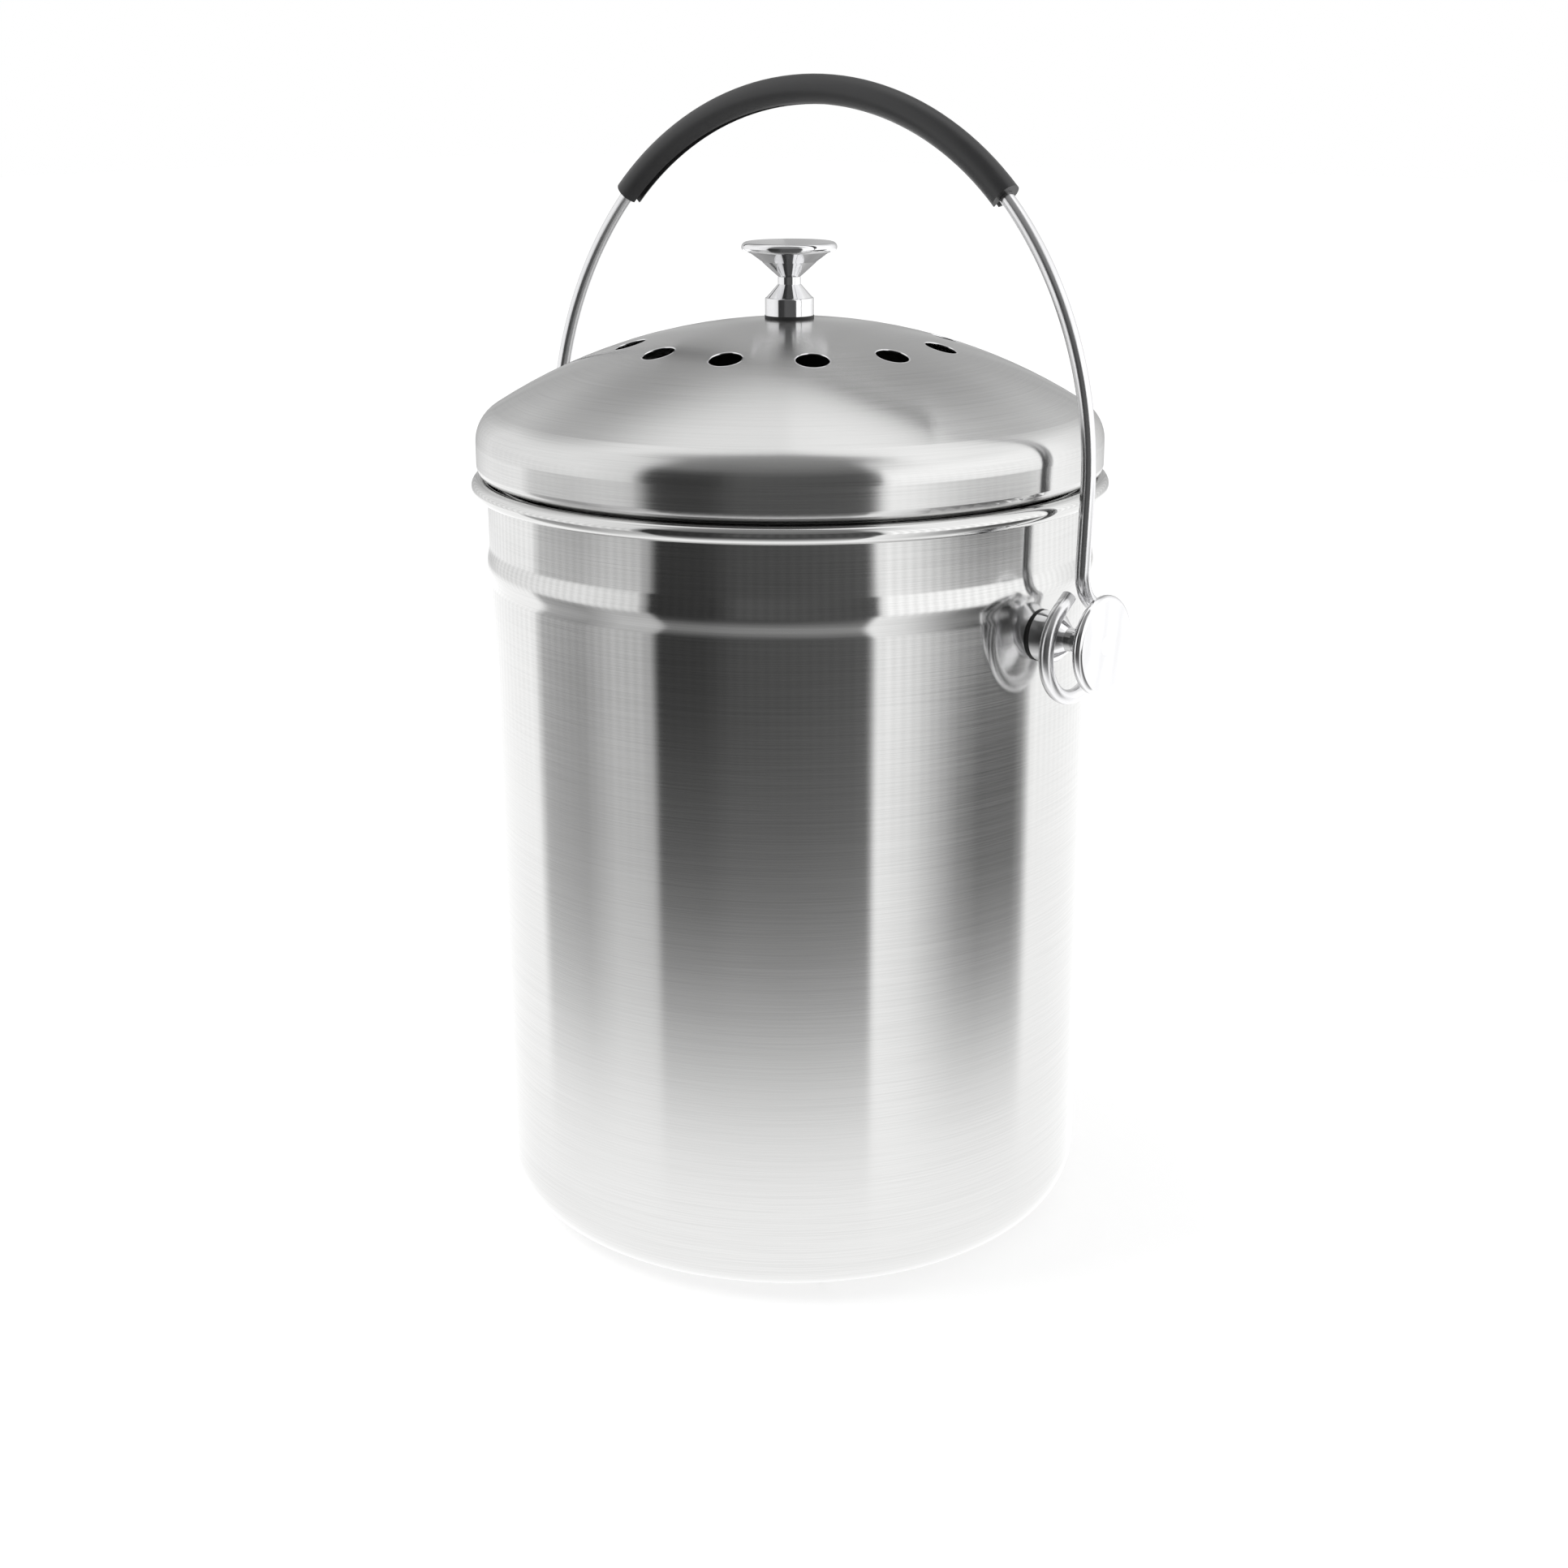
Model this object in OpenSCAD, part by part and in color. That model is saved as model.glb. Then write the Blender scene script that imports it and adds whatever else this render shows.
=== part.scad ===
// Kitchen compost caddy in sheet steel: a straight pail with a rolled rim and a pressed ridge,
// a domed lift-off lid with a ring of vents and a pull knob, and a wire bail handle with a grip
// sleeve, hooked over two wall studs.
// Millimetres, +Z up. The origin is on the table at the centre of the base, the studs lie on X,
// and the lid is closed with the handle upright.

/* [Pail] */
// Outside diameter of the straight wall
pail_d = 171.4; // [150:0.2:190]
// Height of the top of the rim above the table
pail_h = 218.5; // [205:0.5:240]
// Thickness of the pail's steel sheet
sheet_t = 0.6; // [0.5:0.1:0.9]
// Outer radius of the corner between wall and bottom
corner_r = 17.5; // [10:0.5:25]
// Height by which the middle of the bottom is pressed up
base_dish = 0.8; // [0.4:0.1:2]
// Width of the flat foot ring that the pail stands on
foot_w = 9.2; // [5:0.2:20]

/* [Rim and ridge] */
// Diameter of the rolled rim's tube
rim_roll_d = 4.9; // [4:0.1:6]
// Gap between the end of the roll and the wall
rim_roll_gap = 0.8; // [0.4:0.1:1.2]
// Drop from the rim's top to the middle of the pressed ridge
ridge_drop = 24.4; // [12:0.1:24.8]
// Height of the ridge's band
ridge_band = 8.8; // [6:0.2:9]
// How far the ridge stands out of the wall
ridge_out = 1; // [0.5:0.1:1.6]

/* [Lid] */
// How far the lid's side stands inside the rim's edge
lid_inset = 1.55; // [0:0.05:2.5]
// Radius of the dome
lid_dome_r = 157.7; // [140:0.5:180]
// Radius of the shoulder between dome and side
lid_shoulder_r = 10.5; // [8:0.5:12]
// Height of the lid's side, from its seat to the start of the shoulder
lid_side_h = 9.3; // [7:0.1:14]
// Radius of the lid's lower edge
lid_edge_r = 3; // [1:0.1:3.2]
// Thickness of the lid's steel sheet
lid_t = 0.6; // [0.5:0.1:0.9]
// Gap between the lid's flange and the top of the rim
lid_seat_gap = 0.3; // [0.3:0.1:0.6]
// Height of the skirt inside the pail's mouth
skirt_h = 10; // [8:0.5:12]
// Gap between skirt and pail wall, on the radius
skirt_gap = 0.8; // [0.5:0.1:1.5]

/* [Vents] */
// Number of vent holes
vent_count = 12; // [6:1:16]
// Diameter of a vent hole
vent_d = 9.5; // [6:0.1:12]
// Diameter of the circle that the vents lie on
vent_ring_d = 89.4; // [60:0.2:110]
// Turn of the first vent from the X axis, in degrees
vent_turn = 16.5; // [0:0.1:30]

/* [Knobs] */
// Diameter of a knob's collar
collar_d = 13.6; // [12:0.2:16]
// Height of the collar
collar_h = 4.9; // [4:0.1:6]
// Diameter of a knob's neck
neck_d = 6.4; // [6:0.1:7]
// Height of the neck's lower end above the knob's base
neck_z = 8.5; // [8:0.1:9]
// Length of the straight neck
neck_len = 2; // [1.8:0.1:3]
// Diameter of the flare where it meets the disc
flare_d = 16.7; // [14:0.1:18]
// Height of the flare above the neck
flare_h = 4.2; // [3.5:0.1:5]
// Diameter of a knob's disc
disc_d = 26.6; // [22:0.1:28]
// Height of the disc's conical underside, up to the middle of its rim
disc_under_h = 3.9; // [3:0.1:4.5]
// Radius of the disc's round rim
disc_edge_r = 1.4; // [0.5:0.1:1.6]
// Rise of the disc's face from its rim to its middle
disc_crown = 0.3; // [0.3:0.1:1.5]
// Radius of the collar's edge
collar_edge_r = 0.4; // [0.3:0.1:0.6]

/* [Fastenings] */
// Drop from the rim's top to the studs and the handle's pivot line
pivot_drop = 36; // [35.8:0.2:50]
// How far the rubber gaskets stand out round the knobs' collars
gasket_edge = 0.1; // [0:0.05:0.3]
// Thickness of the studs' gaskets at their middle
gasket_t = 0.5; // [0.4:0.1:1.5]
// Thickness of the lid knob's gasket at its middle
lid_gasket_t = 0.8; // [0.8:0.1:1.5]
// Diameter of the screws' shanks
screw_d = 3.8; // [3:0.1:4]
// Length of a screw below its head
screw_len = 11.5; // [9:0.1:13]
// Diameter of the screws' pan heads
screw_head_d = 7.6; // [6:0.1:8]
// Height of the pan heads
screw_head_h = 2.2; // [1.5:0.1:3]
// Width of the cross slots in the pan heads
screw_slot_w = 1; // [0.6:0.1:1.4]
// Length of these slots
screw_slot_len = 4.6; // [3.5:0.1:5]
// Diameter of the washers under the pan heads
washer_d = 10; // [9:0.1:12]
// Thickness of these washers
washer_t = 0.8; // [0.5:0.1:1.2]
// Clearance of a shank in its hole, on the diameter
screw_play = 0.3; // [0.2:0.1:0.5]
// Depth of a knob's bore beyond the screw's end
bore_end_gap = 1; // [0.5:0.1:2]

/* [Handle] */
// Diameter of the handle's wire
wire_d = 4; // [3.6:0.1:4.2]
// How much less the radius of the arch's top is than the legs' distance from the middle
arch_inset = 3.4; // [1:0.1:6]
// Angle that half of the arch's top covers, in degrees
arch_half_angle = 48; // [48:0.5:60]
// Height of the centre of the arch's top above the pivot
arch_z = 47.8; // [44:0.1:60]
// Distance of the arch's plane behind the pivot line
arch_back = 2.9; // [2:0.1:5]
// Lean of the whole handle from upright, in degrees
handle_lean = 3.4; // [0:0.1:6]
// Radius of the bend between a leg and its hook
leg_bend_r = 10; // [8:0.5:14]
// Swelling of the wire's radius where two bends meet
bend_swell = 0.03; // [0.02:0.01:0.1]
// Radius of the hook's bend at the middle of the wire
hook_r = 13.4; // [12.5:0.1:14]
// Distance of the hook's centre behind the pivot line
hook_back = 0.8; // [0.4:0.1:1.2]
// Distance of the hook's centre below the pivot line
hook_drop = 2; // [1.5:0.1:2.5]
// Distance of the hook's free end in front of the pivot line
tip_front = 3.1; // [2.5:0.1:4]
// Height of the hook's free end above the pivot
tip_z = 12; // [11.8:0.1:13]

/* [Grip] */
// Outside diameter of the grip sleeve
grip_d = 8.2; // [7:0.1:9]
// Angle that half of the grip covers on the arch, in degrees
grip_half_angle = 46.1; // [35:0.1:46.2]
// How far the grip has slid towards the left, in degrees
grip_slide = 1.3; // [0:0.1:1.8]
// Width of the slit along the inside of the grip
grip_slit_w = 2.2; // [1:0.1:3]
// Clearance of the wire in the grip, on the diameter
grip_play = 0.1; // [0.1:0.05:0.3]

/* [Filter] */
// Thickness of the charcoal pad
pad_t = 6; // [4:0.5:8]
// Gap round the pad in its retainer, on the radius
pad_gap = 0.4; // [0.3:0.1:1]
// Height of the retainer's ring inside the skirt
retainer_h = 6; // [4:0.5:8]
// Wall thickness of the retainer's ring
retainer_wall = 1.6; // [1.2:0.1:2.4]
// Gap between retainer and skirt, on the radius and below
retainer_gap = 0.3; // [0.3:0.1:0.6]
// Thickness of the retainer's grille and flange
grille_t = 1.5; // [1.2:0.1:2.5]
// Number of spokes in the grille
spoke_count = 8; // [4:1:12]
// Width of a spoke and of the grille's inner rings
spoke_w = 3; // [2:0.1:5]
// Diameter of the grille's hub
hub_d = 18; // [12:1:30]
// Number of rings between hub and outer ring
grille_rings = 2; // [1:1:3]

/* [Hidden] */
$fn = 96;
// Steps of the large circles that thin pieces are fitted to
fine = 720;
// Amount by which a cut runs past the face that it opens
past = 1;

pail_r = pail_d / 2;
pail_in_r = pail_r - sheet_t;
rim_r = pail_in_r + rim_roll_d / 2;
rim_z = pail_h - rim_roll_d / 2;
dish_r = pail_r - corner_r - foot_w;
ridge_z = pail_h - ridge_drop;
pivot_z = pail_h - pivot_drop;
// The ridge is an arc through its band's two edges and its crest
ridge_r = (pow(ridge_band / 2, 2) + pow(ridge_out, 2)) / (2 * ridge_out);

lid_r = rim_r + rim_roll_d / 2 - lid_inset;
lid_z = pail_h + lid_seat_gap;
shoulder_x = lid_r - lid_shoulder_r;
shoulder_z = lid_z + lid_side_h;
// The dome meets the shoulder where both have one tangent
dome_z = shoulder_z - sqrt(pow(lid_dome_r - lid_shoulder_r, 2) - pow(shoulder_x, 2));
dome_half_angle = asin(shoulder_x / (lid_dome_r - lid_shoulder_r));
dome_top_z = dome_z + lid_dome_r;
dome_in_r = lid_dome_r - lid_t;
skirt_r = pail_in_r - skirt_gap;
skirt_in_r = skirt_r - lid_t;
skirt_z = lid_z - skirt_h;

flare_z = neck_z + neck_len;
disc_z = flare_z + flare_h;
disc_rim_z = disc_z + disc_under_h;
knob_h = disc_rim_z + disc_edge_r + disc_crown;
// The disc's face is an arc through its rim and its crown
face_half = disc_d / 2 - disc_edge_r;
flare_top = [flare_d / 2, disc_z];
disc_rim = [face_half, disc_rim_z];
// Slope of the underside, which runs into the round rim without an edge
under_angle = heading(flare_top, disc_rim) - asin(disc_edge_r / norm(disc_rim - flare_top));
face_r = (pow(face_half, 2) + pow(disc_crown, 2)) / (2 * disc_crown);
screw_hole_d = screw_d + screw_play;
gasket_d = collar_d + 2 * gasket_edge;
knob_bore = screw_len - washer_t - gasket_t - sheet_t + bore_end_gap;

knob_x = pail_r + gasket_t;
hook_x = knob_x + neck_z + neck_len / 2;
lid_knob_z = dome_top_z + lid_gasket_t;

arch_r = hook_x - arch_inset;
// The arch's sides run on from its top and end upright above the hooks
side_r = (hook_x - arch_r * sin(arch_half_angle)) / (1 - sin(arch_half_angle));
side_x = hook_x - side_r;
side_z = arch_z - (side_r - arch_r) * cos(arch_half_angle);
// Side views of the handle are planes of [distance behind, height above] the pivot line
hook_centre = [hook_back, -hook_drop];
hook_tip = [-tip_front, tip_z];
// The leg's bend touches the hook's bend, and its upper end is upright
bend_reach = arch_back + leg_bend_r - hook_back;
bend_rise = sqrt(pow(leg_bend_r + hook_r, 2) - pow(bend_reach, 2));
bend_centre = hook_centre + [bend_reach, bend_rise];
leg_angle = atan2(bend_rise, bend_reach);
leg_end = hook_centre + hook_r * [cos(leg_angle), sin(leg_angle)];
// Direction from the hook's centre at which its straight free end leaves it
tip_angle = heading(hook_centre, hook_tip) + acos(hook_r / norm(hook_tip - hook_centre));
tip_start = hook_centre + hook_r * [cos(tip_angle), sin(tip_angle)];

retainer_r = skirt_in_r - retainer_gap;
retainer_in_r = retainer_r - retainer_wall;
flange_top_z = skirt_z - retainer_gap;
grille_z = flange_top_z - grille_t;
ring_step = (retainer_in_r - hub_d / 2) / (grille_rings + 1);

steel = [0.72, 0.72, 0.73];
chrome = [0.86, 0.87, 0.89];
rubber = [0.09, 0.09, 0.10];
plastic = [0.13, 0.13, 0.14];
charcoal = [0.06, 0.06, 0.06];

// Direction from one point to another in degrees, in a plane
function heading(from, to) = atan2(to[1] - from[1], to[0] - from[0]);

// Round rod between two points
module rod(from, to, d) {
  run = to - from;
  turn = atan2(run[1], run[0]);
  fall = acos(run[2] / norm(run));
  translate(from)
    rotate([0, fall, turn])
      cylinder(d = d, h = norm(run));
}

// Filled half section of a straight vessel with a round bottom corner
module vessel_fill(r, corner, top) {
  square([r - corner, top]);
  translate([0, corner])
    square([r, top - corner]);
  translate([r - corner, corner])
    circle(corner);
}

// Section of the pressed-up middle of the bottom
module dish_fill() {
  translate([-past, -past])
    square([dish_r + past, past]);
  polygon([[0, 0], [dish_r, 0], [dish_r - base_dish, base_dish], [0, base_dish]]);
}

// Vessel section with ridge and pressed-up bottom, shrunk by an inset
module pail_fill(inset) {
  difference() {
    union() {
      translate([0, inset])
        vessel_fill(pail_r - inset, corner_r - inset, rim_z - inset + (inset > 0 ? past : 0));
      translate([pail_r + ridge_out - ridge_r, ridge_z])
        circle(ridge_r - inset);
    }
    translate([0, inset])
      dish_fill();
  }
}

// Rolled rim, open at its underside next to the wall
module rim_section() {
  translate([rim_r, rim_z])
    difference() {
      circle(d = rim_roll_d);
      circle(d = rim_roll_d - 2 * sheet_t);
      translate([pail_r - rim_r, -rim_roll_d])
        square([rim_roll_gap, rim_roll_d]);
    }
}

module pail_shell() {
  color(steel)
    difference() {
      rotate_extrude() {
        difference() {
          pail_fill(0);
          pail_fill(sheet_t);
        }
        rim_section();
      }
      for (side = [-1, 1])
        translate([side * pail_r, 0, pivot_z])
          rotate([0, 90, 0])
            cylinder(d = screw_hole_d, h = 2 * (sheet_t + past), center = true);
    }
}

// Half section of a knob, standing on its base
module knob_section() {
  square([collar_d / 2, collar_h - collar_edge_r]);
  square([collar_d / 2 - collar_edge_r, collar_h]);
  translate([collar_d / 2 - collar_edge_r, collar_h - collar_edge_r])
    circle(collar_edge_r);
  polygon([[0, 0], [collar_d / 2 - collar_edge_r, collar_h], [neck_d / 2, neck_z], [0, neck_z]]);
  square([neck_d / 2, disc_z]);
  polygon([[0, flare_z], [neck_d / 2, flare_z], [flare_d / 2, disc_z], [0, disc_z]]);
  disc_section();
}

// Half section of a knob's disc: a conical underside, a round rim and a crowned face
module disc_section() {
  polygon([
    [0, disc_z],
    flare_top,
    disc_rim + disc_edge_r * [sin(under_angle), -cos(under_angle)],
    [face_half, disc_rim_z + disc_edge_r],
    [0, disc_rim_z + disc_edge_r]
  ]);
  translate(disc_rim)
    circle(disc_edge_r);
  intersection() {
    translate([0, knob_h - face_r])
      circle(face_r, $fn = fine);
    translate([0, disc_rim_z])
      square([face_half, disc_edge_r + disc_crown]);
  }
}

// Pull knob with the blind bore for its screw
module knob() {
  difference() {
    rotate_extrude()
      knob_section();
    translate([0, 0, -past])
      cylinder(d = screw_hole_d, h = knob_bore + past);
  }
}

// Places its children on the wall at the pivot, with their +Z out of the wall
module on_wall(side) {
  translate([0, 0, pivot_z])
    rotate([0, side * 90, 0])
      children();
}

module pivot_knob(side) {
  color(chrome)
    on_wall(side)
      translate([0, 0, knob_x])
        knob();
}

module pivot_knob_right() {
  pivot_knob(1);
}

module pivot_knob_left() {
  pivot_knob(-1);
}

// Rubber gasket, flat under the knob and curved to the wall
module pivot_gasket(side) {
  color(rubber)
    difference() {
      on_wall(side)
        cylinder(d = gasket_d, h = knob_x);
      cylinder(r = pail_r, h = pail_h, $fn = fine);
      on_wall(side)
        cylinder(d = screw_hole_d, h = knob_x + past);
    }
}

module pivot_gasket_right() {
  pivot_gasket(1);
}

module pivot_gasket_left() {
  pivot_gasket(-1);
}

// Inner washer, curved to the wall and flat under the screw's head
module pivot_washer(side) {
  color(chrome)
    intersection() {
      on_wall(side)
        translate([0, 0, pail_in_r - washer_t])
          difference() {
            cylinder(d = washer_d, h = washer_t);
            translate([0, 0, -past])
              cylinder(d = screw_hole_d, h = washer_t + 2 * past);
          }
      cylinder(r = pail_in_r, h = pail_h, $fn = fine);
    }
}

module pivot_washer_right() {
  pivot_washer(1);
}

module pivot_washer_left() {
  pivot_washer(-1);
}

// Pan head screw, with the underside of its head at zero and its shank along +Z
module pan_screw() {
  difference() {
    union() {
      cylinder(d = screw_d, h = screw_len);
      rotate_extrude()
        translate([0, -screw_head_h]) {
          translate([0, screw_head_h / 2])
            square([screw_head_d / 2, screw_head_h / 2]);
          square([screw_head_d / 2 - screw_head_h / 2, screw_head_h]);
          translate([screw_head_d / 2 - screw_head_h / 2, screw_head_h / 2])
            circle(screw_head_h / 2);
        }
    }
    for (turn = [0, 90])
      rotate([0, 0, turn])
        translate([0, 0, -screw_head_h])
          cube([screw_slot_len, screw_slot_w, screw_head_h], center = true);
  }
}

module pivot_screw(side) {
  color(chrome)
    on_wall(side)
      translate([0, 0, pail_in_r - washer_t])
        pan_screw();
}

module pivot_screw_right() {
  pivot_screw(1);
}

module pivot_screw_left() {
  pivot_screw(-1);
}

// Places its children in the handle's own frame: pivot line on X, arch along +Z
module in_handle() {
  translate([0, 0, pivot_z])
    rotate([-handle_lean, 0, 0])
      children();
}

// Round wire bent in the XY plane, from one direction to another round the origin
module wire_bend(r, from, to) {
  rotate([0, 0, from])
    rotate_extrude(angle = to - from)
      translate([r, 0])
        circle(d = wire_d);
}

// Faint swelling of the wire where one bend runs into the next
module bend_mark(at) {
  translate(at)
    sphere(d = wire_d + 2 * bend_swell);
}

// One side of the arch with its leg and the hook round the stud's neck
module leg_and_hook() {
  translate([side_x, arch_back, side_z])
    rotate([90, 0, 0])
      wire_bend(side_r, 0, 90 - arch_half_angle);
  bend_mark([arch_r * sin(arch_half_angle), arch_back, arch_z + arch_r * cos(arch_half_angle)]);
  bend_mark([hook_x, arch_back, side_z]);
  translate([hook_x, arch_back, bend_centre[1]])
    cylinder(d = wire_d, h = side_z - bend_centre[1]);
  bend_mark([hook_x, arch_back, bend_centre[1]]);
  translate([hook_x, bend_centre[0], bend_centre[1]])
    rotate([90, 0, 90])
      wire_bend(leg_bend_r, 180, 180 + leg_angle);
  bend_mark([hook_x, leg_end[0], leg_end[1]]);
  translate([hook_x, hook_centre[0], hook_centre[1]])
    rotate([90, 0, 90])
      wire_bend(hook_r, tip_angle, 360 + leg_angle);
  bend_mark([hook_x, tip_start[0], tip_start[1]]);
  rod([hook_x, tip_start[0], tip_start[1]], [hook_x, hook_tip[0], hook_tip[1]], wire_d);
}

module handle_wire() {
  color(chrome)
    in_handle() {
      translate([0, arch_back, arch_z])
        rotate([90, 0, 0])
          wire_bend(arch_r, 90 - arch_half_angle, 90 + arch_half_angle);
      leg_and_hook();
      mirror([1, 0, 0])
        leg_and_hook();
    }
}

// Rubber sleeve with a slit along its inside, pushed over the arch
module handle_grip() {
  color(rubber)
    in_handle()
      translate([0, arch_back, arch_z])
        rotate([90, 0, 0])
          rotate([0, 0, 90 + grip_slide - grip_half_angle])
            rotate_extrude(angle = 2 * grip_half_angle)
              translate([arch_r, 0])
                difference() {
                  circle(d = grip_d);
                  circle(d = wire_d + grip_play);
                  translate([-grip_d, -grip_slit_w / 2])
                    square([grip_d, grip_slit_w]);
                }
}

// Filled half section of the lid above its flange, shrunk by an inset
module lid_fill(inset) {
  reach = 2 * lid_dome_r;
  edge = lid_edge_r - inset;
  low = lid_z + inset;
  intersection() {
    union() {
      translate([0, dome_z])
        intersection() {
          circle(lid_dome_r - inset);
          polygon([[0, 0], [reach * tan(dome_half_angle), reach], [0, reach]]);
        }
      translate([shoulder_x, shoulder_z])
        circle(lid_shoulder_r - inset);
      translate([0, low + edge])
        square([lid_r - inset, shoulder_z - low - edge]);
      translate([0, low])
        square([lid_r - inset - edge, shoulder_z - low]);
      translate([lid_r - inset - edge, low + edge])
        circle(edge);
    }
    translate([0, low])
      square([lid_r, dome_top_z]);
  }
}

module lid_shell() {
  color(steel)
    difference() {
      rotate_extrude()
        difference() {
          lid_fill(0);
          lid_fill(lid_t);
          translate([0, lid_z - past])
            square([skirt_in_r, lid_t + 2 * past]);
        }
      for (i = [0 : vent_count - 1])
        rotate([0, 0, vent_turn + i * 360 / vent_count])
          translate([0, 0, dome_z])
            rotate([0, asin(vent_ring_d / 2 / lid_dome_r), 0])
              translate([0, 0, dome_in_r - past])
                cylinder(d = vent_d, h = lid_t + 2 * past);
      translate([0, 0, dome_top_z - lid_t - past])
        cylinder(d = screw_hole_d, h = lid_t + 2 * past);
    }
}

// Ring that centres the lid in the pail's mouth
module lid_skirt() {
  color(steel)
    translate([0, 0, skirt_z])
      difference() {
        cylinder(r = skirt_r, h = skirt_h);
        translate([0, 0, -past])
          cylinder(r = skirt_in_r, h = skirt_h + 2 * past);
      }
}

module lid_knob() {
  color(chrome)
    translate([0, 0, lid_knob_z])
      knob();
}

// Rubber gasket, flat under the knob and hollowed to the dome
module lid_knob_gasket() {
  color(rubber)
    rotate_extrude()
      difference() {
        translate([screw_hole_d / 2, dome_top_z - past])
          square([gasket_d / 2 - screw_hole_d / 2, lid_gasket_t + past]);
        translate([0, dome_z])
          circle(lid_dome_r, $fn = fine);
      }
}

// Washer under the dome, flat under the screw's head
module lid_knob_washer() {
  color(chrome)
    rotate_extrude()
      intersection() {
        translate([screw_hole_d / 2, dome_z + dome_in_r - washer_t])
          square([washer_d / 2 - screw_hole_d / 2, washer_t]);
        translate([0, dome_z])
          circle(dome_in_r, $fn = fine);
      }
}

module lid_knob_screw() {
  color(chrome)
    translate([0, 0, dome_z + dome_in_r - washer_t])
      pan_screw();
}

// Flat grille of hub, rings and spokes
module grille_plan() {
  circle(d = hub_d);
  for (i = [1 : grille_rings])
    difference() {
      circle(hub_d / 2 + i * ring_step + spoke_w / 2);
      circle(hub_d / 2 + i * ring_step - spoke_w / 2);
    }
  for (i = [0 : spoke_count - 1])
    rotate([0, 0, i * 360 / spoke_count])
      translate([0, -spoke_w / 2])
        square([retainer_in_r + retainer_wall / 2, spoke_w]);
}

// Ring that snaps into the skirt and carries the pad on its grille
module filter_retainer() {
  color(plastic) {
    translate([0, 0, grille_z])
      linear_extrude(grille_t)
        grille_plan();
    translate([0, 0, grille_z])
      difference() {
        union() {
          cylinder(r = skirt_r, h = grille_t);
          cylinder(r = retainer_r, h = grille_t + retainer_h);
        }
        translate([0, 0, -past])
          cylinder(r = retainer_in_r, h = grille_t + retainer_h + 2 * past);
      }
  }
}

module charcoal_filter() {
  color(charcoal)
    translate([0, 0, grille_z + grille_t])
      cylinder(r = retainer_in_r - pad_gap, h = pad_t);
}

pail_shell();
pivot_knob_right();
pivot_knob_left();
pivot_gasket_right();
pivot_gasket_left();
pivot_washer_right();
pivot_washer_left();
pivot_screw_right();
pivot_screw_left();
handle_wire();
handle_grip();
lid_shell();
lid_skirt();
lid_knob();
lid_knob_gasket();
lid_knob_washer();
lid_knob_screw();
filter_retainer();
charcoal_filter();
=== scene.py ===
"""Looks of a steel compost caddy: materials, smooth pail and handle, vent edges, floor, light and camera."""

from math import acos, asin, atan2, cos, hypot, pi, radians, sin, sqrt

import bmesh
import bpy
from mathutils import Matrix, Vector


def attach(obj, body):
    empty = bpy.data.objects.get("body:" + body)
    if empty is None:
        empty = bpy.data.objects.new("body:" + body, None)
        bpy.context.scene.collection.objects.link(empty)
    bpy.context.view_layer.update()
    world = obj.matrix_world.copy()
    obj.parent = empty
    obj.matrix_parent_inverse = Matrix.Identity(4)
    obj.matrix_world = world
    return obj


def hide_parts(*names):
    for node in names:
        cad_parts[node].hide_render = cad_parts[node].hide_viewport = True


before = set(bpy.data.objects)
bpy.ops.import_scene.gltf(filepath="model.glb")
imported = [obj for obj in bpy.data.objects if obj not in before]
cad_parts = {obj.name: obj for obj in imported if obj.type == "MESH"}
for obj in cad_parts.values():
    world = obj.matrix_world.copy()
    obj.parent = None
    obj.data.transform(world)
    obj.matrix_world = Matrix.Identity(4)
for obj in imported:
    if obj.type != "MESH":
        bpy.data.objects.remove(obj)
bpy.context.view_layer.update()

MM = 0.001

# The photograph's camera, from the rim, wall, base and vents
CAMERA_AZIMUTH = radians(38.9)
CAMERA_REACH = 680.75 * MM
CAMERA_HEIGHT = 330.3 * MM
CAMERA_SIDE = 2.05 * MM
CAMERA_PITCH = radians(16.79)
CAMERA_ROLL = radians(-0.23)
CAMERA_CLIP = 0.01
SENSOR_MM = 36.0
PHOTO_PIXELS = 1932
FOCAL_PIXELS = 2963.45

# Handle wire, as the frame has it
PIVOT_Z = 182.5 * MM
WIRE_R = 2.0 * MM
WIRE_SIDES = 24
HOOK_X = 95.7 * MM
ARCH_R = 92.3 * MM
ARCH_HALF_ANGLE = radians(48.0)
ARCH_Z = 47.8 * MM
ARCH_BACK = 2.9 * MM
HANDLE_LEAN = radians(3.4)
LEG_BEND_R = 10.0 * MM
HOOK_R = 13.4 * MM
HOOK_CENTRE = (0.8 * MM, -2.0 * MM)
HOOK_TIP = (-3.1 * MM, 12.0 * MM)

# Pail, as the frame has it, but with a softer ridge
PAIL_R = 85.7 * MM
PAIL_STEPS = 256
SHEET_T = 0.6 * MM
CORNER_R = 17.5 * MM
FOOT_W = 9.2 * MM
BASE_DISH = 0.8 * MM
BASE_STEPS = 8
RIM_TUBE_R = 2.45 * MM
RIM_TOP_Z = 218.5 * MM
RIM_LOW_Z = 213.6 * MM
RIM_END_ANGLE = radians(-119.0)
RIDGE_Z = 194.1 * MM
RIDGE_OUT = 0.7 * MM
RIDGE_HALF = 5.6 * MM
RIDGE_STEPS = 20

# Lid's dome and vents, as the frame has them, and the bright edge of each vent
DOME_R = 157.7 * MM
DOME_TOP_Z = 260.9 * MM
LID_T = 0.6 * MM
VENT_COUNT = 12
VENT_R = 4.75 * MM
VENT_RING_R = 44.7 * MM
VENT_TURN = radians(16.5)
VENT_EDGE_GAP = 0.02 * MM
VENT_EDGE_R = 0.3 * MM

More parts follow.
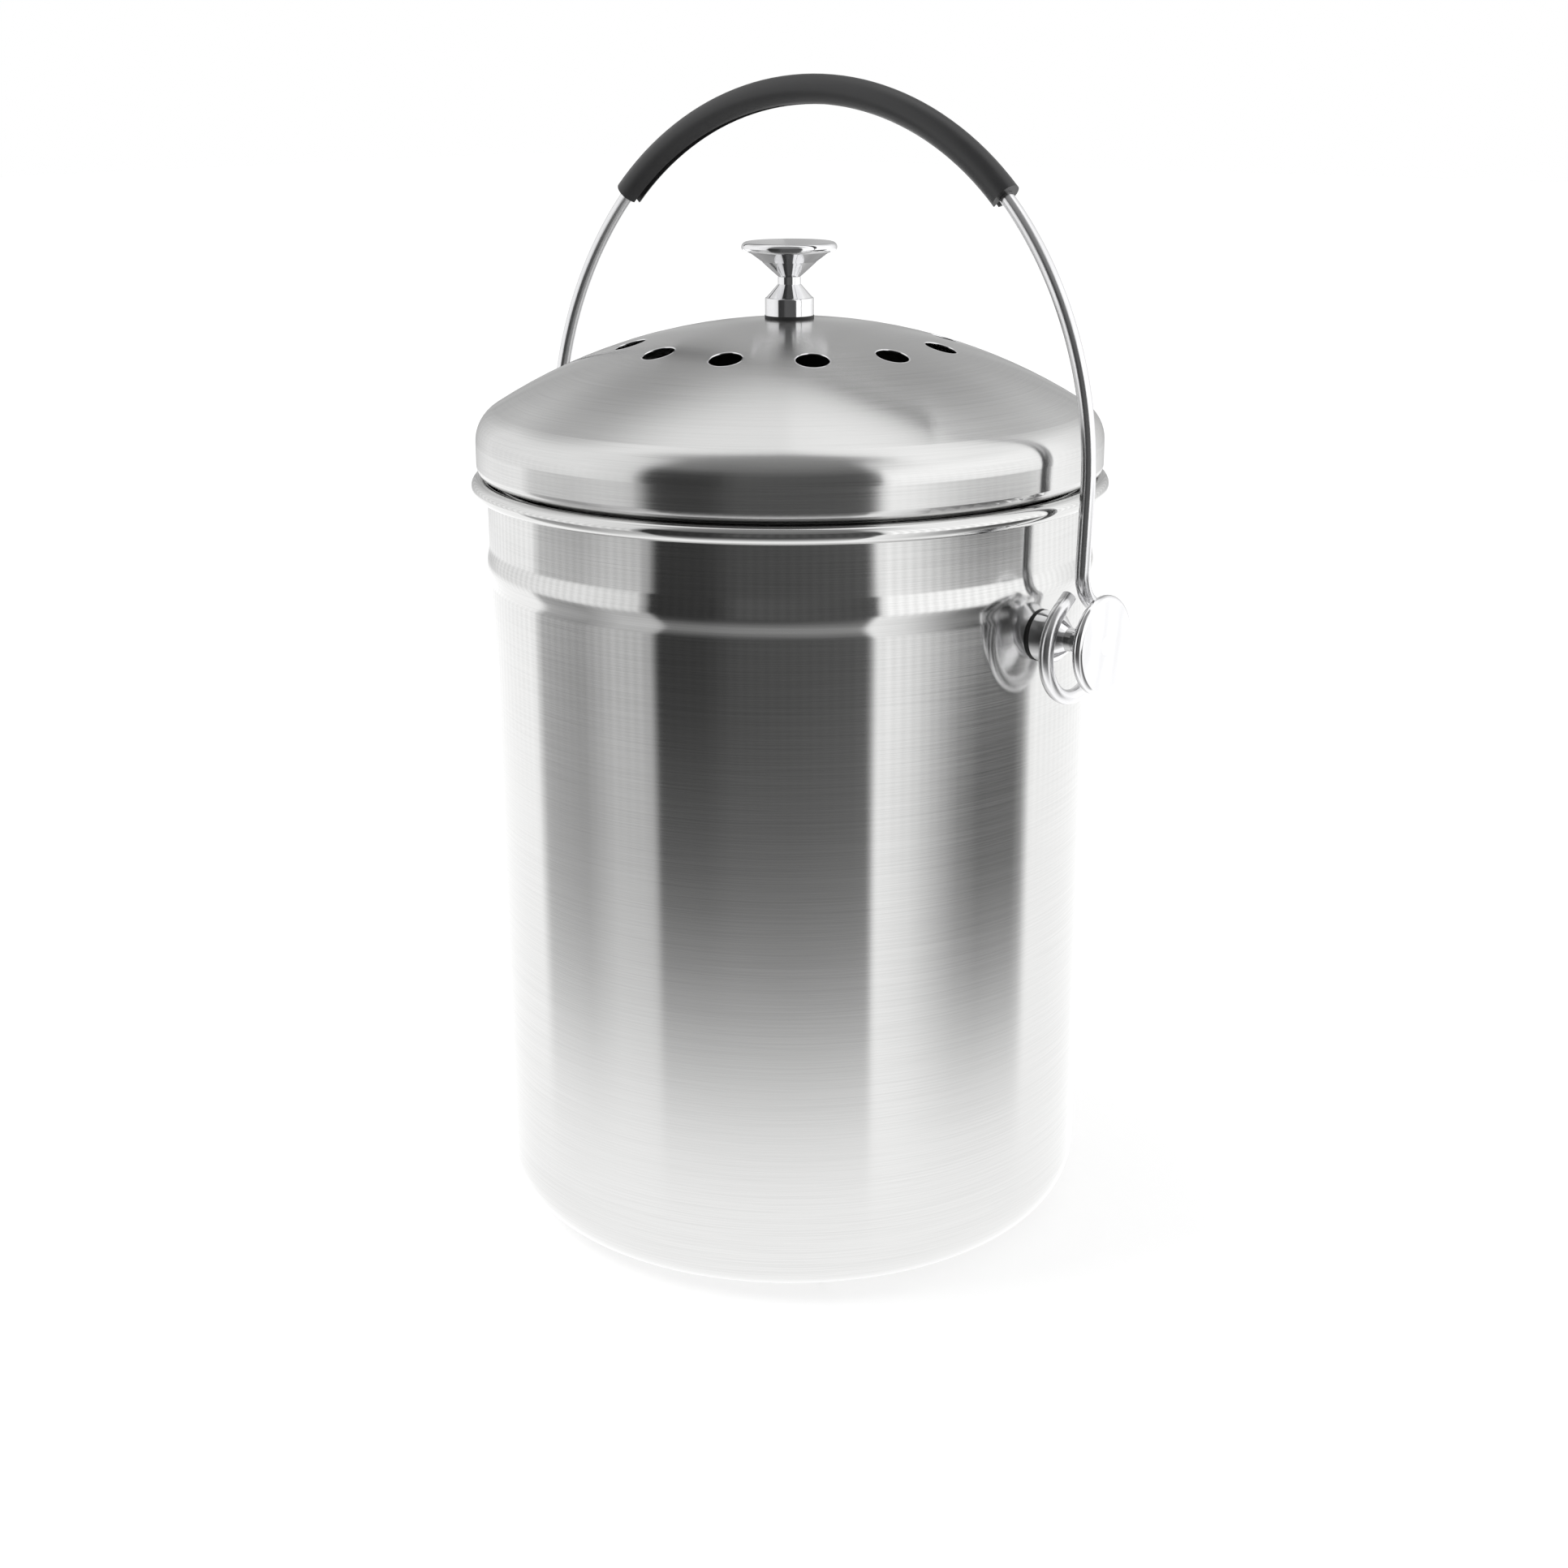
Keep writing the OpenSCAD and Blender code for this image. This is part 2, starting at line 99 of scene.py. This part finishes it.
# Walls that the metal reflects, as pairs of degrees from the camera's side and grey:
# a dark doorway from about -50 to 30 degrees, and bright and grey walls beside it
LOW_WALLS = (
    (-180, 1.3), (-114, 1.3), (-108, 0.5), (-100, 0.43), (-85, 0.35), (-70, 0.62), (-56, 0.6),
    (-53, 0.5), (-50.5, 0.035), (-33, 0.035), (-22, 0.065), (0, 0.075), (22, 0.1), (29, 0.125),
    (31.5, 1.25), (45, 1.0), (56, 0.6), (66, 0.25), (76, 0.08), (94, 0.09), (99, 0.3), (104, 1.3))
HIGH_WALLS = (
    (-180, 0.5), (-165, 0.5), (-140, 1.0), (-112, 1.1), (-80, 1.1), (-58, 0.95), (-54, 0.3),
    (-52, 0.04), (-28, 0.05), (-18, 0.11), (28, 0.1), (31, 0.14), (34, 1.4), (60, 1.4), (112, 1.35),
    (140, 1.0), (165, 0.5))
UPPER_WALLS = (
    (-180, 0.55), (-172, 0.5), (-160, 0.38), (-140, 0.7), (-100, 1.1), (-62, 1.0), (-50, 0.3),
    (-28, 0.24), (28, 0.24), (36, 1.0), (60, 1.3), (110, 1.2), (140, 0.8), (160, 0.42), (172, 0.52))
TOP_WALLS = ((-180, 1.2), (-95, 1.2), (-78, 0.6), (-55, 0.32), (38, 0.32), (52, 0.6), (64, 1.3))

# Elevations in degrees where one row of walls passes into the next
LOW_TO_HIGH = (-14.0, -7.0)
HIGH_TO_UPPER = (22.0, 40.0)
UPPER_TO_TOP = (44.0, 64.0)

# Fine stripes on the low and high walls, and the elevations in degrees where they begin
STRIPES_PER_DEGREE = 1.6
STRIPE_DEPTH = 0.1
STRIPES_BEGIN = (-20.0, -14.0)

# Painted reflection: the floor glows for glossy rays only, as a white table that the metal reflects, fading
# with the distance from the pail
POOL_WHITE = 1.3
POOL_REACH = 170.0 * MM
POOL_FALL = 3.0

# Floor, soft light and lamp
FLOOR_HALF = 6.0
FLOOR_GREY = (0.86, 0.86, 0.86, 1.0)
FLOOR_LIFT = 0.42
WHITE = (1.0, 1.0, 1.0, 1.0)
SOFT_LIGHT = 0.75
LAMP_PLACE = (-1.0, -0.9, 1.6)
LAMP_TARGET = (0.0, 0.0, 0.1)
LAMP_SIZE = 1.2
LAMP_POWER = 9.0

# Brushed and polished steel. Streaks are in noise cells to the metre
STEEL = (0.66, 0.66, 0.655, 1.0)
WALL_ROUGH = 0.105
DOME_ROUGH = 0.17
RIM_ROUGH = 0.07
RIM_BLEND = 0.4 * MM
STREAKS_ALONG = 22.0
STREAKS_ACROSS = 5200.0
GLOSS_STRETCH = 0.92
GLOSS_TURN = 0.25
CHROME = (0.80, 0.80, 0.81, 1.0)
SMUDGED_CHROME = (0.76, 0.76, 0.77, 1.0)
POLISHED_ROUGH = 0.05
SATIN_ROUGH = 0.2
FASTENER_ROUGH = 0.16

# Rubber, plastic and charcoal
BLACK = (0.0, 0.0, 0.0, 1.0)
GASKET_COLOUR = (0.012, 0.012, 0.012, 1.0)
GRIP_COLOUR = (0.02, 0.02, 0.021, 1.0)
PLASTIC_COLOUR = (0.02, 0.02, 0.022, 1.0)
WEAR_LIGHTER = 1.35
COAL_DARK = (0.012, 0.012, 0.012, 1.0)
COAL_PALE = (0.05, 0.05, 0.05, 1.0)


# Node building

class Tree:
    """A node tree with short calls for adding and linking nodes."""

    def __init__(self, owner):
        owner.use_nodes = True
        self.nodes = owner.node_tree.nodes
        self.links = owner.node_tree.links
        self.nodes.clear()

    def add(self, kind, **settings):
        node = self.nodes.new(kind)
        for name, value in settings.items():
            setattr(node, name, value)
        return node

    def feed(self, socket, value):
        if isinstance(value, bpy.types.NodeSocket):
            self.links.new(value, socket)
        else:
            socket.default_value = value

    def math(self, operation, *values):
        node = self.add("ShaderNodeMath", operation=operation)
        for socket, value in zip(node.inputs, values):
            self.feed(socket, value)
        return node.outputs[0]

    def smooth(self, value, low, high, out_low=0.0, out_high=1.0):
        """Smooth step from out_low at low to out_high at high."""
        node = self.add("ShaderNodeMapRange", interpolation_type="SMOOTHSTEP")
        names = ("Value", "From Min", "From Max", "To Min", "To Max")
        for name, number in zip(names, (value, low, high, out_low, out_high)):
            self.feed(node.inputs[name], number)
        return node.outputs[0]

    def mix(self, factor, a, b):
        node = self.add("ShaderNodeMix", data_type="RGBA")
        self.feed(node.inputs[0], factor)
        self.feed(node.inputs[6], a)
        self.feed(node.inputs[7], b)
        return node.outputs[2]

    def scaled(self, colour, factor):
        node = self.add("ShaderNodeVectorMath", operation="SCALE")
        self.feed(node.inputs[0], colour)
        self.feed(node.inputs["Scale"], factor)
        return node.outputs[0]

    def noise(self, vector, scale=1.0, detail=2.0, roughness=0.5):
        node = self.add("ShaderNodeTexNoise")
        self.feed(node.inputs["Vector"], vector)
        node.inputs["Scale"].default_value = scale
        node.inputs["Detail"].default_value = detail
        node.inputs["Roughness"].default_value = roughness
        return node.outputs["Fac"]

    def bump(self, height, strength, distance):
        node = self.add("ShaderNodeBump")
        node.inputs["Strength"].default_value = strength
        node.inputs["Distance"].default_value = distance
        self.feed(node.inputs["Height"], height)
        return node.outputs["Normal"]

    def ramp(self, factor, stops):
        node = self.add("ShaderNodeValToRGB")
        elements = node.color_ramp.elements
        while len(elements) > 1:
            elements.remove(elements[-1])
        for index, (place, grey) in enumerate(stops):
            element = elements[0] if index == 0 else elements.new(place)
            element.position = place
            element.color = (grey, grey, grey, 1.0)
        self.feed(node.inputs[0], factor)
        return node.outputs[0]

    def background(self, colour, strength=1.0):
        node = self.add("ShaderNodeBackground")
        self.feed(node.inputs["Color"], colour)
        node.inputs["Strength"].default_value = strength
        return node.outputs[0]

    def mix_shaders(self, factor, a, b):
        node = self.add("ShaderNodeMixShader")
        for socket, value in zip(node.inputs, (factor, a, b)):
            self.links.new(value, socket)
        return node.outputs[0]

    def straight_rays(self, rays):
        """1 for rays from the camera, also through clear pieces."""
        return self.math("MAXIMUM", rays.outputs["Is Camera Ray"], rays.outputs["Is Transmission Ray"])


def new_material(name):
    material = bpy.data.materials.new(name)
    tree = Tree(material)
    shader = tree.add("ShaderNodeBsdfPrincipled")
    output = tree.add("ShaderNodeOutputMaterial")
    tree.links.new(shader.outputs[0], output.inputs[0])
    return material, tree, shader


def object_coordinates(tree):
    """Object position in metres and its three parts."""
    place = tree.add("ShaderNodeTexCoord").outputs["Object"]
    split = tree.add("ShaderNodeSeparateXYZ")
    tree.links.new(place, split.inputs[0])
    return place, split.outputs[0], split.outputs[1], split.outputs[2]


# Materials

def brushed_steel(name, along, rough, polished_from=None):
    """Steel brushed in circles round Z. along gives the coordinate across the streaks from x, y and z."""
    material, tree, shader = new_material(name)
    place, x, y, z = object_coordinates(tree)
    parts = (x, y, along(tree, x, y, z))
    streak = tree.add("ShaderNodeCombineXYZ")
    for socket, part, scale in zip(streak.inputs, parts, (STREAKS_ALONG, STREAKS_ALONG, STREAKS_ACROSS)):
        tree.feed(socket, tree.math("MULTIPLY", part, scale))
    fine = tree.noise(streak.outputs[0], detail=3.0, roughness=0.7)
    broad = tree.noise(place, scale=14.0)
    fine_shade = tree.smooth(fine, 0.3, 0.7, 0.93, 1.04)
    broad_shade = tree.smooth(broad, 0.3, 0.7, 0.97, 1.0)
    shade = tree.math("MULTIPLY", fine_shade, broad_shade)
    tree.feed(shader.inputs["Base Color"], tree.mix(shade, BLACK, STEEL))
    shader.inputs["Metallic"].default_value = 1.0
    shader.inputs["Anisotropic"].default_value = GLOSS_STRETCH
    shader.inputs["Anisotropic Rotation"].default_value = GLOSS_TURN
    tangent = tree.add("ShaderNodeTangent", direction_type="RADIAL", axis="Z")
    tree.links.new(tangent.outputs[0], shader.inputs["Tangent"])
    fine_rough = tree.smooth(fine, 0.25, 0.75, rough - 0.015, rough + 0.02)
    broad_rough = tree.smooth(broad, 0.3, 0.7, -0.01, 0.02)
    roughness = tree.math("ADD", fine_rough, broad_rough)
    height = fine
    if polished_from is not None:
        polish = tree.smooth(z, polished_from, polished_from + RIM_BLEND)
        keep = tree.math("SUBTRACT", 1.0, polish)
        brushed = tree.math("MULTIPLY", roughness, keep)
        roughness = tree.math("ADD", brushed, tree.math("MULTIPLY", polish, RIM_ROUGH))
        height = tree.math("MULTIPLY", fine, keep)
    tree.feed(shader.inputs["Roughness"], roughness)
    tree.feed(shader.inputs["Normal"], tree.bump(height, 0.12, 0.02 * MM))
    return material


def polished_metal(name, rough):
    """Bright steel with smudges and fine scratches."""
    material, tree, shader = new_material(name)
    place = object_coordinates(tree)[0]
    smudge = tree.noise(place, scale=90.0, detail=3.0)
    scratch = tree.noise(place, scale=1400.0)
    shader.inputs["Metallic"].default_value = 1.0
    colour = tree.mix(tree.smooth(smudge, 0.35, 0.65), CHROME, SMUDGED_CHROME)
    tree.feed(shader.inputs["Base Color"], colour)
    tree.feed(shader.inputs["Roughness"], tree.smooth(smudge, 0.35, 0.75, rough, rough + 0.05))
    tree.feed(shader.inputs["Normal"], tree.bump(scratch, 0.03, 0.02 * MM))
    return material


def rubber(name, colour, rough, grain):
    """Dull rubber or plastic with a fine grain and slightly paler wear."""
    material, tree, shader = new_material(name)
    place = object_coordinates(tree)[0]
    speck = tree.noise(place, scale=grain, detail=4.0, roughness=0.6)
    wear = tree.noise(place, scale=60.0, detail=3.0)
    lighter = tuple(WEAR_LIGHTER * c for c in colour[:3]) + (1.0,)
    tree.feed(shader.inputs["Base Color"], tree.mix(tree.smooth(wear, 0.35, 0.7), colour, lighter))
    tree.feed(shader.inputs["Roughness"], tree.smooth(wear, 0.3, 0.7, rough, rough + 0.1))
    tree.feed(shader.inputs["Normal"], tree.bump(speck, 0.25, 0.05 * MM))
    return material


def charcoal(name):
    """Open black foam with charcoal in it."""
    material, tree, shader = new_material(name)
    place = object_coordinates(tree)[0]
    cell = tree.add("ShaderNodeTexVoronoi")
    cell.inputs["Scale"].default_value = 900.0
    tree.links.new(place, cell.inputs["Vector"])
    fibre = tree.noise(place, scale=500.0, detail=5.0, roughness=0.7)
    height = tree.math("MULTIPLY", cell.outputs["Distance"], fibre)
    tree.feed(shader.inputs["Base Color"], tree.mix(fibre, COAL_DARK, COAL_PALE))
    shader.inputs["Roughness"].default_value = 0.95
    tree.feed(shader.inputs["Normal"], tree.bump(height, 0.8, 0.4 * MM))
    return material


def up_the_wall(tree, x, y, z):
    return z


def down_the_dome(tree, x, y, z):
    squares = tree.math("ADD", tree.math("MULTIPLY", x, x), tree.math("MULTIPLY", y, y))
    return tree.math("SUBTRACT", tree.math("SQRT", squares), z)


# Meshes

def circle(steps):
    """Cosine and sine of each step round a circle."""
    return [(cos(2 * pi * k / steps), sin(2 * pi * k / steps)) for k in range(steps)]


def closed_object(name, bm):
    """Object from a finished bmesh, with its faces turned outwards."""
    mesh = bpy.data.meshes.new(name)
    bmesh.ops.recalc_face_normals(bm, faces=bm.faces)
    bm.to_mesh(mesh)
    bm.free()
    obj = bpy.data.objects.new(name, mesh)
    bpy.context.scene.collection.objects.link(obj)
    return obj


def swept_tube(name, points, radius, sides):
    """Round tube along a smooth list of points, with flat ends."""
    bm = bmesh.new()
    rings = []
    last = len(points) - 1
    directions = [(points[min(i + 1, last)] - points[max(i - 1, 0)]).normalized() for i in range(last + 1)]
    side = directions[0].orthogonal().normalized()
    for point, direction in zip(points, directions):
        side = (side - direction * side.dot(direction)).normalized()
        other = direction.cross(side)
        rings.append([bm.verts.new(point + radius * (c * side + s * other)) for c, s in circle(sides)])
    for a, b in zip(rings, rings[1:]):
        for k in range(sides):
            n = (k + 1) % sides
            bm.faces.new((a[k], a[n], b[n], b[k])).smooth = True
    bm.faces.new(reversed(rings[0]))
    bm.faces.new(rings[-1])
    return closed_object(name, bm)


def lathe(name, outline, steps):
    """Solid turned round Z from a section of [reach, height] points that starts and ends on the axis."""
    bm = bmesh.new()
    rings = []
    for reach, height in outline:
        if reach < 1e-6:
            rings.append([bm.verts.new((0, 0, height))])
        else:
            rings.append([bm.verts.new((reach * c, reach * s, height)) for c, s in circle(steps)])
    for a, b in zip(rings, rings[1:]):
        for k in range(steps):
            n = (k + 1) % steps
            corners = [a[k], a[n]] if len(a) > 1 else [a[0]]
            corners += [b[n], b[k]] if len(b) > 1 else [b[0]]
            bm.faces.new(corners).smooth = True
    return closed_object(name, bm)


def ring(name, matrix, radius, thickness, steps=48, sides=12):
    """Round ring about the matrix's own Z. thickness is the radius of its section."""
    bm = bmesh.new()
    rings = []
    for out_x, out_y in circle(steps):
        out = Vector((out_x, out_y, 0))
        section = [out * (radius + thickness * c) + Vector((0, 0, thickness * s)) for c, s in circle(sides)]
        rings.append([bm.verts.new(matrix @ point) for point in section])
    for i in range(steps):
        a = rings[i]
        b = rings[(i + 1) % steps]
        for k in range(sides):
            n = (k + 1) % sides
            bm.faces.new((a[k], b[k], b[n], a[n])).smooth = True
    return closed_object(name, bm)


def arc(centre, radius, start, end, steps):
    """Points on an arc in a plane, start and end in radians."""
    angles = [start + (end - start) * k / steps for k in range(steps + 1)]
    return [(centre[0] + radius * cos(t), centre[1] + radius * sin(t)) for t in angles]


def handle_path():
    """Middle line of the wire from one hook's tip to the other's."""
    reach = ARCH_BACK + LEG_BEND_R - HOOK_CENTRE[0]
    rise = sqrt((LEG_BEND_R + HOOK_R) ** 2 - reach ** 2)
    bend_centre = (HOOK_CENTRE[0] + reach, HOOK_CENTRE[1] + rise)
    leg_angle = atan2(rise, reach)
    to_tip = (HOOK_TIP[0] - HOOK_CENTRE[0], HOOK_TIP[1] - HOOK_CENTRE[1])
    tip_angle = atan2(to_tip[1], to_tip[0]) + acos(HOOK_R / hypot(*to_tip))
    side_r = (HOOK_X - ARCH_R * sin(ARCH_HALF_ANGLE)) / (1 - sin(ARCH_HALF_ANGLE))
    side_centre = (HOOK_X - side_r, ARCH_Z - (side_r - ARCH_R) * cos(ARCH_HALF_ANGLE))
    side_end = pi / 2 - ARCH_HALF_ANGLE
    hook = arc(HOOK_CENTRE, HOOK_R, tip_angle, 2 * pi + leg_angle, 64)
    bend = arc(bend_centre, LEG_BEND_R, pi + leg_angle, pi, 14)[1:]
    top = arc((0.0, ARCH_Z), ARCH_R, side_end, pi - side_end, 80)[1:-1]
    side = [(HOOK_X, t, w) for t, w in [HOOK_TIP] + hook + bend]
    side += [(x, ARCH_BACK, w) for x, w in arc(side_centre, side_r, 0.0, side_end, 40)]
    arch = [(x, ARCH_BACK, w) for x, w in top]
    left = [(-x, t, w) for x, t, w in reversed(side)]
    lean = Matrix.Translation((0, 0, PIVOT_Z)) @ Matrix.Rotation(-HANDLE_LEAN, 4, "X")
    return [lean @ Vector(point) for point in side + arch + left]


def pail_middle_line():
    """Middle of the pail's sheet, from the centre of its bottom to the end of its rolled rim."""
    half = SHEET_T / 2
    wall = PAIL_R - half
    foot = PAIL_R - CORNER_R
    dish = foot - FOOT_W
    line = [(0.0, BASE_DISH + half), (dish - 2 * BASE_DISH, BASE_DISH + half)]
    for k in range(1, BASE_STEPS + 1):
        rise = (1 + cos(pi * k / BASE_STEPS)) / 2
        line.append((dish - 2 * BASE_DISH * (1 - k / BASE_STEPS), BASE_DISH * rise + half))
    line.append((foot - FOOT_W / 2, half))
    line += arc((foot, CORNER_R), CORNER_R - half, -pi / 2, 0.0, 24)
    line.append((wall, RIDGE_Z - 2 * RIDGE_HALF))
    for k in range(-RIDGE_STEPS, RIDGE_STEPS + 1):
        bulge = (1 + cos(pi * k / RIDGE_STEPS)) / 2
        line.append((wall + RIDGE_OUT * bulge, RIDGE_Z + RIDGE_HALF * k / RIDGE_STEPS))
    tube = RIM_TUBE_R - half
    line += arc((wall + tube, RIM_TOP_Z - RIM_TUBE_R), tube, pi, RIM_END_ANGLE, 48)
    return line


def sheet_outline(middle, thickness):
    """Section of a sheet, from the points of its middle line."""
    points = [Vector(p) for p in middle]
    outer = []
    inner = []
    for i, point in enumerate(points):
        run = points[min(i + 1, len(points) - 1)] - points[max(i - 1, 0)]
        across = Vector((run.y, -run.x)).normalized() * thickness / 2
        outer.append(point + across)
        inner.append(point - across)
    return outer + inner[::-1]


# Pieces

def dress(node, material):
    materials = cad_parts[node].data.materials
    materials.clear()
    materials.append(material)


def make_pail_skin(material):
    skin = lathe("pail_skin", sheet_outline(pail_middle_line(), SHEET_T), PAIL_STEPS)
    skin.data.materials.append(material)
    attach(skin, "pail")
    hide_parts("pail_shell")


def make_handle(material):
    wire = swept_tube("bail_wire", handle_path(), WIRE_R, WIRE_SIDES)
    wire.data.materials.append(material)
    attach(wire, "handle")
    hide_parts("handle_wire")


def make_vent_edges(material):
    centre = Matrix.Translation((0, 0, DOME_TOP_Z - DOME_R))
    tilt = Matrix.Rotation(asin(VENT_RING_R / DOME_R), 4, "Y")
    out = Matrix.Translation((0, 0, DOME_R - LID_T / 2))
    for i in range(VENT_COUNT):
        turn = Matrix.Rotation(VENT_TURN + 2 * pi * i / VENT_COUNT, 4, "Z")
        edge = ring(f"vent_edge_{i}", centre @ turn @ tilt @ out, VENT_R + VENT_EDGE_GAP, VENT_EDGE_R)
        edge.data.materials.append(material)
        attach(edge, "lid")


# Stage, light and camera

def table_glow(tree):
    """Painted reflection: glow of a white table that only metal sees round the pail, and the walls' light
    further off.
    """
    place = tree.add("ShaderNodeNewGeometry").outputs["Position"]
    length = tree.add("ShaderNodeVectorMath", operation="LENGTH")
    tree.links.new(place, length.inputs[0])
    away = tree.math("MAXIMUM", tree.math("SUBTRACT", length.outputs["Value"], PAIL_R), 0.0)
    share = tree.math("POWER", tree.math("DIVIDE", away, POOL_REACH), POOL_FALL)
    pool = tree.math("DIVIDE", 1.0, tree.math("ADD", 1.0, share))
    glow = tree.add("ShaderNodeEmission")
    glow.inputs["Strength"].default_value = POOL_WHITE
    clear = tree.add("ShaderNodeBsdfTransparent")
    return tree.mix_shaders(pool, clear.outputs[0], glow.outputs[0])


def make_floor():
    """Plain pale floor that keeps the shadow, turns white for the camera, and glows for metal."""
    mesh = bpy.data.meshes.new("floor")
    half = FLOOR_HALF
    corners = [(-half, -half, 0), (half, -half, 0), (half, half, 0), (-half, half, 0)]
    mesh.from_pydata(corners, [], [(0, 1, 2, 3)])
    floor = bpy.data.objects.new("floor", mesh)
    bpy.context.scene.collection.objects.link(floor)
    material = bpy.data.materials.new("pale_floor")
    tree = Tree(material)
    diffuse = tree.add("ShaderNodeBsdfDiffuse")
    diffuse.inputs["Color"].default_value = FLOOR_GREY
    rays = tree.add("ShaderNodeLightPath")
    lift = tree.add("ShaderNodeEmission")
    tree.feed(lift.inputs["Strength"], tree.math("MULTIPLY", tree.straight_rays(rays), FLOOR_LIFT))
    both = tree.add("ShaderNodeAddShader")
    tree.links.new(diffuse.outputs[0], both.inputs[0])
    tree.links.new(lift.outputs[0], both.inputs[1])
    output = tree.add("ShaderNodeOutputMaterial")
    # Glossy rays see the painted reflection glow instead of the lit floor
    seen = tree.mix_shaders(rays.outputs["Is Glossy Ray"], both.outputs[0], table_glow(tree))
    tree.links.new(seen, output.inputs[0])
    mesh.materials.append(material)


def wall_row(tree, place, levels):
    """Grey over the compass. levels holds pairs of degrees, from -180 to 180, and grey."""
    return tree.ramp(place, [((180 + angle) / 360, level) for angle, level in levels])


def metal_surroundings(tree):
    """Colour that metal sees round it: a dark doorway ahead and bright striped walls."""
    direction = tree.add("ShaderNodeTexCoord").outputs["Generated"]
    turned = tree.add("ShaderNodeVectorRotate", rotation_type="Z_AXIS")
    tree.links.new(direction, turned.inputs["Vector"])
    turned.inputs["Angle"].default_value = -CAMERA_AZIMUTH
    split = tree.add("ShaderNodeSeparateXYZ")
    tree.links.new(turned.outputs[0], split.inputs[0])
    # Azimuth is 0 towards the photograph's camera and grows towards its right
    azimuth = tree.math("ARCTAN2", split.outputs[0], tree.math("MULTIPLY", split.outputs[1], -1.0))
    degrees = tree.math("MULTIPLY", azimuth, 180 / pi)
    elevation = tree.math("MULTIPLY", tree.math("ARCSINE", split.outputs[2]), 180 / pi)
    place = tree.math("DIVIDE", tree.math("ADD", degrees, 180.0), 360.0)
    low = wall_row(tree, place, LOW_WALLS)
    walls = tree.mix(tree.smooth(elevation, *LOW_TO_HIGH), low, wall_row(tree, place, HIGH_WALLS))
    stripes = tree.math("SINE", tree.math("MULTIPLY", degrees, STRIPES_PER_DEGREE))
    depth = tree.smooth(elevation, *STRIPES_BEGIN, 0.0, STRIPE_DEPTH)
    walls = tree.scaled(walls, tree.math("ADD", 1.0, tree.math("MULTIPLY", stripes, depth)))
    walls = tree.mix(tree.smooth(elevation, *HIGH_TO_UPPER), walls, wall_row(tree, place, UPPER_WALLS))
    return tree.mix(tree.smooth(elevation, *UPPER_TO_TOP), walls, wall_row(tree, place, TOP_WALLS))


def make_world():
    """White for the camera, the studio for metal, and plain soft light for everything else."""
    world = bpy.data.worlds.new("studio")
    bpy.context.scene.world = world
    tree = Tree(world)
    rays = tree.add("ShaderNodeLightPath")
    white = tree.background(WHITE)
    soft = tree.background(WHITE, SOFT_LIGHT)
    studio = tree.background(metal_surroundings(tree))
    lit = tree.mix_shaders(rays.outputs["Is Glossy Ray"], soft, studio)
    output = tree.add("ShaderNodeOutputWorld")
    tree.links.new(tree.mix_shaders(tree.straight_rays(rays), lit, white), output.inputs[0])


def make_lamp():
    """Soft lamp high on the left, for the faint shadow on the right of the base."""
    data = bpy.data.lights.new("key", "AREA")
    data.shape = "DISK"
    data.size = LAMP_SIZE
    data.energy = LAMP_POWER
    lamp = bpy.data.objects.new("key", data)
    lamp.location = LAMP_PLACE
    lamp.rotation_euler = (Vector(LAMP_TARGET) - lamp.location).to_track_quat("-Z", "Y").to_euler()
    lamp.visible_glossy = False
    bpy.context.scene.collection.objects.link(lamp)


def make_camera():
    data = bpy.data.cameras.new("camera")
    data.sensor_width = SENSOR_MM
    data.lens = SENSOR_MM * FOCAL_PIXELS / PHOTO_PIXELS
    data.clip_start = CAMERA_CLIP
    camera = bpy.data.objects.new("camera", data)
    turn = Matrix.Rotation(CAMERA_AZIMUTH, 4, "Z")
    place = turn @ Matrix.Translation((-CAMERA_SIDE, -CAMERA_REACH, CAMERA_HEIGHT))
    tilt = Matrix.Rotation(pi / 2 - CAMERA_PITCH, 4, "X") @ Matrix.Rotation(CAMERA_ROLL, 4, "Z")
    camera.matrix_world = place @ tilt
    bpy.context.scene.collection.objects.link(camera)
    bpy.context.scene.camera = camera


make_camera()
make_world()
make_lamp()
make_floor()

wall_steel = brushed_steel("wall_steel", up_the_wall, WALL_ROUGH, polished_from=RIM_LOW_Z)
dome_steel = brushed_steel("dome_steel", down_the_dome, DOME_ROUGH)
polished = polished_metal("polished_steel", POLISHED_ROUGH)
satin = polished_metal("satin_wire", SATIN_ROUGH)
fastener = polished_metal("fastener_steel", FASTENER_ROUGH)
gasket = rubber("gasket_rubber", GASKET_COLOUR, rough=0.55, grain=1500.0)
sleeve = rubber("grip_rubber", GRIP_COLOUR, rough=0.35, grain=2200.0)
plastic = rubber("filter_plastic", PLASTIC_COLOUR, rough=0.5, grain=900.0)
pad = charcoal("charcoal_foam")

finishes = {
    "pail_shell": wall_steel, "lid_shell": dome_steel, "lid_skirt": wall_steel, "lid_knob": polished,
    "lid_knob_gasket": gasket, "lid_knob_washer": fastener, "lid_knob_screw": fastener,
    "handle_wire": polished, "handle_grip": sleeve, "filter_retainer": plastic, "charcoal_filter": pad}
for side in ("right", "left"):
    finishes[f"pivot_knob_{side}"] = polished
    finishes[f"pivot_gasket_{side}"] = gasket
    finishes[f"pivot_washer_{side}"] = fastener
    finishes[f"pivot_screw_{side}"] = fastener
for node, finish in finishes.items():
    dress(node, finish)

make_pail_skin(wall_steel)
make_handle(satin)
make_vent_edges(polished)

bpy.context.scene.view_settings.view_transform = "Standard"
